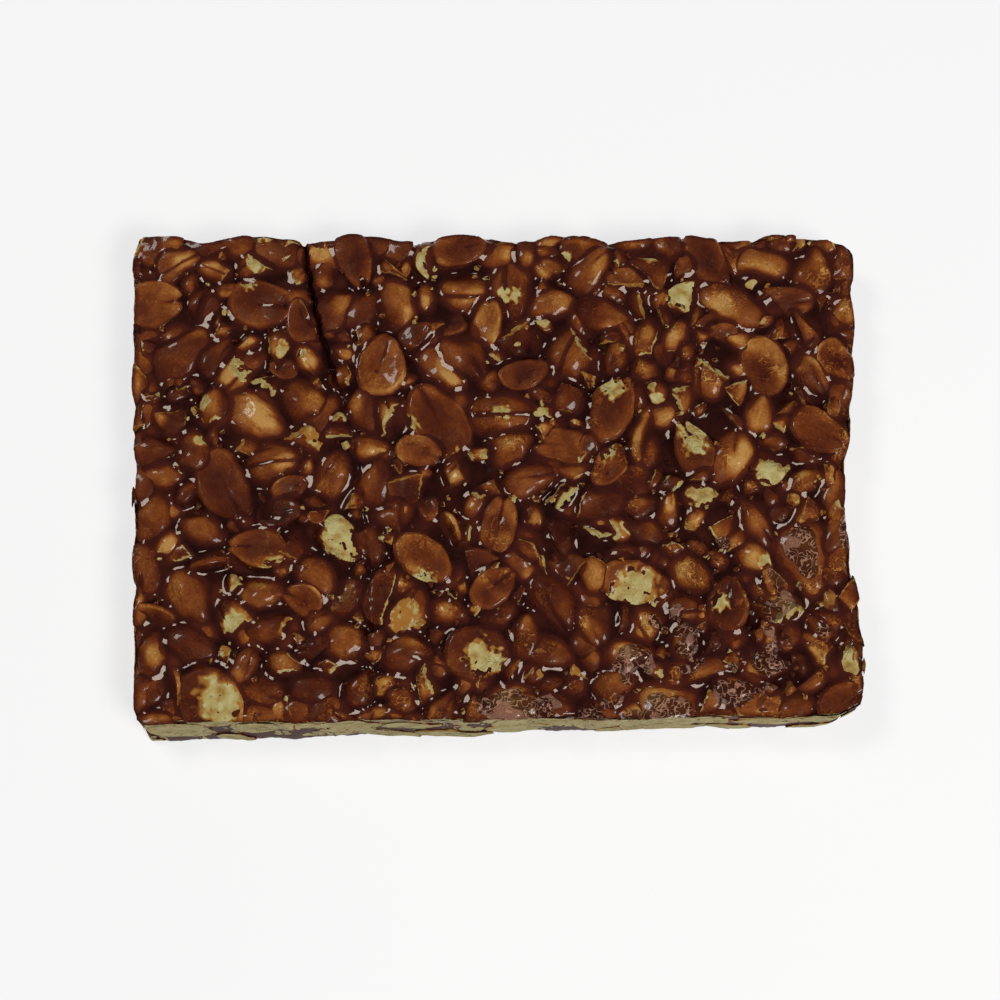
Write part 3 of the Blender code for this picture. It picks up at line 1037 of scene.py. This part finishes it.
CARAMEL = (
    (0.00, paint(226, 172, 98)), (0.13, paint(198, 130, 62)), (0.28, paint(162, 91, 42)),
    (0.42, paint(131, 65, 31)), (0.56, paint(106, 48, 27)), (0.74, paint(84, 35, 25)), (0.88, paint(64, 25, 20)),
    (1.00, paint(40, 11, 10)),
)
CREAM = ((0.30, paint(184, 142, 76)), (0.48, paint(212, 190, 118)), (0.68, paint(232, 222, 160)))
# The knifed-nut colour for cut faces is the pale inside of a nut, darkened and greyed as painted shade on the
# sides.
GOLD, CUT_FACE_IN_SHADE, SEAM = paint(208, 146, 66), paint(166, 156, 118), paint(84, 60, 40)
# The wrinkled film: its ridges are the film's greyish pink with a painted sheen, and its valleys are painted shade.
FILM_AND_PAINTED_SHEEN, WRINKLE_VALLEY_SHADE = paint(208, 156, 132), paint(62, 28, 20)
print("caramel stops:", len(CARAMEL))

# %% [markdown]
# ## Glazed nut
# A glazed nut is glossy and smooth, with fine veins along its length, tiny bubbles in the glaze and a
# mottled roast. The veins follow each nut's own axes, which the mesh carries as the trait `own`. Bare
# patches are rough and cream-coloured, and their borders are broken up by noise so that they look torn.

# %% Bump patterns shared by nut and sugar


def bubbles(finish, place, size_mm, share):
    """Small round blisters, here and there."""
    inputs = {"Vector": place, "Scale": 1 / (size_mm * MM)}
    distance = finish.node("ShaderNodeTexVoronoi", None, inputs, "Distance")
    colour = finish.node("ShaderNodeTexVoronoi", None, inputs, "Color")
    pick = finish.node("ShaderNodeSeparateColor", None, {"Color": colour})
    return (1 - distance.ramp(0.05, 0.32)) * pick.ramp(1 - share - 0.02, 1 - share + 0.02)


def wrinkles(finish, place):
    """The worm-like ridges that crinkled wrapping prints into warm sugar: 1 on a ridge, 0 between."""
    inputs = {"Vector": place, "Scale": 1 / (1.5 * MM), "Detail": 0.0, "Distortion": 1.2}
    bands = finish.node("ShaderNodeTexNoise", None, inputs) - 0.5
    worms = 1 - bands.math("ABSOLUTE", bands).ramp(0.02, 0.10)
    flat = finish.noise(place, 5.0, 1.0).ramp(0.57, 0.62)
    return worms.math("MAXIMUM", worms, flat * 0.55)


def patchy(finish, place, amount):
    """Breaks up the border of a spot whose amount falls off outwards."""
    return (amount * (1 + (finish.noise(place, 3.2, 3.0) - 0.5) * 3.4)).ramp(0.30, 0.42)


def bumped(finish, height, distance_mm):
    inputs = {"Height": height, "Distance": distance_mm * MM, "Strength": 1.0}
    return finish.node("ShaderNodeBump", None, inputs)


# %% The glazed nut


def glazed_nut():
    finish = Finish("glazed_nut")
    place = finish.node("ShaderNodeTexCoord", output="Object")
    own = finish.trait("own", "Vector")
    shade, bare, film = finish.trait("shade"), finish.trait("bare"), finish.trait("film")

    mottle = finish.noise(place, 2.2, 3.0)
    speck = finish.noise(place, 0.5, 2.0)
    stretched = finish.node("ShaderNodeVectorMath", {"operation": "MULTIPLY"}, {0: own, 1: (0.22, 1.0, 1.0)})
    veins = finish.noise(stretched, 0.55, 1.0)
    blisters = bubbles(finish, place, 1.1, 0.22)
    ridges, coated = wrinkles(finish, place), patchy(finish, place, film)
    front_right = finish.node("ShaderNodeVectorMath", {"operation": "DOT_PRODUCT"}, {0: place, 1: (10, -10, 0)}, "Value")
    puckered = finish.noise(place, 6.0, 1.0).ramp(0.51, 0.60) * (0.25 + front_right.ramp(-0.6, 0.5) * 0.85)
    # Blisters are drawn lighter than the nut round them: painted highlights on the small bubbles.
    tint = shade + (mottle - 0.5) * 0.3 + (speck - 0.5) * 0.24 + (veins - 0.5) * 0.16 - blisters * 0.16
    # On puckered spots the ridges are drawn lighter and the hollows darker: painted light and shade of the
    # wrinkles.
    tint = tint - (ridges - 0.3) * puckered * 0.27
    caramel = finish.node("ShaderNodeValToRGB", {"stops": CARAMEL}, {"Fac": tint})
    cream = finish.node("ShaderNodeValToRGB", {"stops": CREAM}, {"Fac": finish.noise(place, 2.0, 5.0)})

    ragged = (finish.noise(place, 1.3, 4.0) - 0.5) * 1.5
    torn = (bare * 1.5 + ragged).ramp(0.76, 0.92)
    stained = (bare * 1.5 + ragged * 0.7).ramp(0.10, 0.7)
    layers = finish.node("ShaderNodeVectorMath", {"operation": "MULTIPLY"}, {0: place, 1: (0.18, 0.18, 1.0)})
    line = finish.noise(layers, 1.7, 2.0) - 0.5
    seams = (1 - line.math("ABSOLUTE", line).ramp(0.0, 0.022)) * finish.trait("cut")
    # Cut faces blend to the knifed-nut colour, which carries painted shade.
    cream = finish.blend(finish.trait("cut") * 0.7, cream, CUT_FACE_IN_SHADE)
    cream = finish.blend(seams * 0.42, cream, SEAM)
    colour = finish.blend(torn, finish.blend(stained * 0.8, caramel, GOLD), cream)
    # Wrinkled film over the nut: painted shade in its valleys, painted sheen on its ridges.
    colour = finish.blend(coated * 0.8, colour, finish.blend(ridges, WRINKLE_VALLEY_SHADE, FILM_AND_PAINTED_SHEEN))

    finish.feed(finish.surface["Base Color"], colour)
    finish.feed(finish.surface["Roughness"], 0.4 + torn * 0.2)
    glaze = finish.noise(place, 2.6, 2.0).ramp(0.48, 0.58) * 0.6 + coated * ridges * 0.4
    finish.feed(finish.surface["Coat Weight"], glaze * (1 - torn))
    relief = veins * 0.6 + speck * 0.45 + mottle * 0.9 + blisters * 1.3 + ridges * puckered * 1.2
    relief = relief + torn * (finish.noise(place, 0.6, 3.0) * 1.6 - 0.8) + coated * ridges * 2.6 - seams * 0.9
    finish.feed(finish.surface["Normal"], bumped(finish, relief, 0.13))
    finish.surface["Specular IOR Level"].default_value = 0.12
    finish.surface["Specular Tint"].default_value = (1.0, 0.8, 0.5, 1)
    finish.surface["Coat Roughness"].default_value = 0.08
    return finish.material


nut_material = glazed_nut()
print("made", nut_material.name, "with", len(nut_material.node_tree.nodes), "nodes")

# %% [markdown]
# ## Boiled sugar
# Set sugar is a glass: very glossy, with slow ripples and a few bubbles. It could be made with real
# transparency, but the light would have to find its way through a thousand nuts. The thickness is
# already in `shade`, so an opaque shader with that colour looks the same and renders quickly.

# %% The sugar


def boiled_sugar():
    finish = Finish("boiled_sugar")
    place = finish.node("ShaderNodeTexCoord", output="Object")
    shade, film = finish.trait("shade"), finish.trait("film")
    cloud = finish.noise(place, 3.0, 3.0)
    fine = finish.noise(place, 0.7, 2.0)
    tint = shade + (cloud - 0.5) * 0.22 + (fine - 0.5) * 0.12
    colour = finish.node("ShaderNodeValToRGB", {"stops": CARAMEL}, {"Fac": tint})
    ridges, coated = wrinkles(finish, place), patchy(finish, place, film)
    # Wrinkled film on the sugar: painted shade in its valleys, painted sheen on its ridges.
    colour = finish.blend(coated * 0.7, colour, finish.blend(ridges, WRINKLE_VALLEY_SHADE, FILM_AND_PAINTED_SHEEN))
    finish.feed(finish.surface["Base Color"], colour)
    finish.feed(finish.surface["Roughness"], 0.06 + coated * 0.3 + finish.trait("snapped") * 0.5)
    ripple = finish.noise(place, 2.6, 1.0) * 0.4 + bubbles(finish, place, 1.3, 0.06) * 0.5
    finish.feed(finish.surface["Normal"], bumped(finish, ripple + coated * ridges * 1.0, 0.10))
    finish.surface["Specular IOR Level"].default_value = 0.5
    finish.surface["Specular Tint"].default_value = (1.0, 0.88, 0.78, 1)
    return finish.material


sugar_material = boiled_sugar()
print("made", sugar_material.name, "with", len(sugar_material.node_tree.nodes), "nodes")

# %% [markdown]
# ## Making the objects
# Each batch becomes one mesh object. Its traits are stored on the points, where the materials read them.
# Edges sharper than 40 degrees, such as those round a cut face, are shaded as edges, the rest smoothly.

# %% From points to pieces
SHARP = math.radians(40)


def make_piece(name, points, faces, traits, material):
    """A mesh object in metres with its traits, finish and place in the frame."""
    mesh = bpy.data.meshes.new(name)
    mesh.from_pydata((points * MM).tolist(), [], faces)
    for trait, values in traits.items():
        kind, key = ("FLOAT_VECTOR", "vector") if values.ndim == 2 else ("FLOAT", "value")
        attribute = mesh.attributes.new(trait, kind, "POINT")
        attribute.data.foreach_set(key, values.astype(np.float32).ravel())
    mesh.shade_smooth()
    mesh.materials.append(material)
    piece = bpy.data.objects.new(name, mesh)
    bpy.context.scene.collection.objects.link(piece)
    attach(piece, "root")
    return piece


def make_nuts(batch):
    points = batch.all("points")
    traits = {
        "shade": nut_shade(batch),
        "bare": batch.all("bare"),
        "cut": batch.all("cut"),
        "film": pressed_film(points),
        "own": batch.all("own") * MM,
    }
    faces = np.concatenate(batch.faces).tolist()
    piece = make_piece(batch.name, points, faces, traits, nut_material)
    piece.data.set_sharp_from_angle(angle=SHARP)
    print(batch.name, batch.kernels, "kernels,", len(faces), "triangles")
    return piece


snapped = (np.arange(len(core_points)) >= top_count).astype(float)  # the walls, where the sugar is dull
core = make_piece(
    "boiled_sugar_core", core_points, core_faces,
    {"shade": core_shade(), "film": pressed_film(core_points), "snapped": snapped}, sugar_material,
)
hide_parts("brittle_slab")
for batch in (*top_batches, bottom_nuts):
    make_nuts(batch)

# %% [markdown]
# ## Crumbs
# Sifting through any brittle are crumbs of nut. They are too small to shape the sugar, so they are laid
# half sunk on its finished skin. A few pale ones are listed one by one and hundreds fall at random, mostly
# in the dark gaps, because that is where loose bits collect.

# %% Scattering the crumbs
PALE_CRUMBS = (
    (-3.5, 44.2, 1.6), (-16.5, 38.6, 1.6), (-13, 39.7, 1.2), (10.6, 30.6, 1.3), (4.7, 27.4, 1.6), (6.7, 31.2, 1.2),
    (25.4, 45.1, 2), (33.4, -31.4, 2.6), (17.3, 3.2, 1.6), (-29.8, 6.1, 2.4), (8.2, -4.8, 2.2), (3.6, -5.3, 2.4),
    (11.8, -5.3, 2), (0.4, -18.6, 2), (14.8, -21, 1.6), (-32.9, -14.8, 1.7), (-32.1, -24.8, 1.6),
    (47, -39.2, 1.6), (60.5, -44.5, 1.6), (31.7, -25.8, 2), (26.1, 26.5, 2), (32.2, 18, 2.4), (41.9, 23.5, 2.2),
    (19.7, 40.8, 1.2),
)
crumbs = Batch("crumbs", 50)
rng = np.random.default_rng(SEED + 51)


def drop_crumb(x, y, size, tone, paleness):
    level = float(skin_map.at(np.array([x]), np.array([y]))[0])
    cracks = [(rng.normal(size=3), rng.uniform(0.3, 0.6)) for _ in range(5)]
    crest = min(level + size * rng.uniform(0.2, 0.45), TOP)
    crumbs.lay(x, y, size, rng.uniform(0, 180), crest, "lump", tone, 3 if size > 1.2 else 2, cracks=cracks,
               paleness=paleness)


for x, y, size in placed(PALE_CRUMBS):
    drop_crumb(x, y, size * 1.15, 0.3, 1.0)
for _ in range(900):
    x, y = rng.uniform(low[0] + 1, high[0] - 1), rng.uniform(low[1] + 1, high[1] - 1)
    gap = float((skin_map.at(np.array([x]), np.array([y])) - nut_map.at(np.array([x]), np.array([y])))[0])
    if inside_by(x, y) > 0.8 and gap > 0.25 and abs(x - score_x(y)) > 0.8:
        drop_crumb(x, y, rng.uniform(0.6, 2.2), rng.normal(0.5, 0.14), rng.choice([0, 0.2, 0.5, 0.9]))
make_nuts(crumbs)

# %% [markdown]
# ## Camera, floor and light
# Food is often pictured from nearly overhead. The camera stands a hand's breadth and a half above the
# slab, tipped 13 degrees off the vertical. One window-sized light from the front right makes the small
# crisp glints that say "glass", and a second light from the back left fills the shadows. The ceiling stays dark,
# since anything bright up there would mirror in the sugar as a grey veil.

# %% Camera
DISTANCE, ELEVATION = 0.33, math.radians(77)
aim = Vector((0.001, -0.00275, 0.010)) + Vector((*TABLE_MIDDLE, 0)) * MM
camera = bpy.data.objects.new("camera", bpy.data.cameras.new("camera"))
camera.data.lens, camera.data.sensor_width = 59.4, 36
camera.data.shift_x, camera.data.shift_y = 0.001, -0.013
camera.location = aim + DISTANCE * Vector((0, -math.cos(ELEVATION), math.sin(ELEVATION)))
camera.rotation_euler = (aim - camera.location).to_track_quat("-Z", "Y").to_euler()
bpy.context.scene.collection.objects.link(camera)
bpy.context.scene.camera = camera

# %% Floor, lights and world


def add_light(name, azimuth, elevation, distance, size, radiance):
    """An area light that faces the slab. Azimuth 0 is to the right, 90 to the back, in degrees."""
    light = bpy.data.lights.new(name, "AREA")
    light.shape, light.size, light.size_y = "RECTANGLE", *size
    light.color = (1.0, 0.97, 0.93)
    light.energy = 4 * size[0] * size[1] * radiance
    a, e = math.radians(azimuth), math.radians(elevation)
    place = Vector((math.cos(a) * math.cos(e), math.sin(a) * math.cos(e), math.sin(e))) * distance
    lamp = bpy.data.objects.new(name, light)
    lamp.location = place
    lamp.rotation_euler = (-place).to_track_quat("-Z", "Y").to_euler()
    bpy.context.scene.collection.objects.link(lamp)


add_light("window", -42, 48, 0.9, (0.42, 0.29), 7.5)
add_light("lamp", 142, 50, 1.0, (0.32, 0.27), 6.8)

world = bpy.data.worlds.new("studio")
world.use_nodes = True
world.node_tree.nodes["Background"].inputs["Color"].default_value = (0.06, 0.06, 0.06, 1)
bpy.context.scene.world = world

bpy.ops.mesh.primitive_plane_add(size=4, location=(0, 0, 0))
floor = bpy.context.object
floor.name = "floor"
paper = bpy.data.materials.new("paper")
paper.use_nodes = True
paper.node_tree.nodes["Principled BSDF"].inputs["Base Color"].default_value = (0.5, 0.5, 0.5, 1)
paper.node_tree.nodes["Principled BSDF"].inputs["Roughness"].default_value = 0.9
paper.node_tree.nodes["Principled BSDF"].inputs["Emission Color"].default_value = (0.975, 0.985, 1, 1)
paper.node_tree.nodes["Principled BSDF"].inputs["Emission Strength"].default_value = 0.668
floor.data.materials.append(paper)
bpy.context.scene.view_settings.view_transform = "Standard"
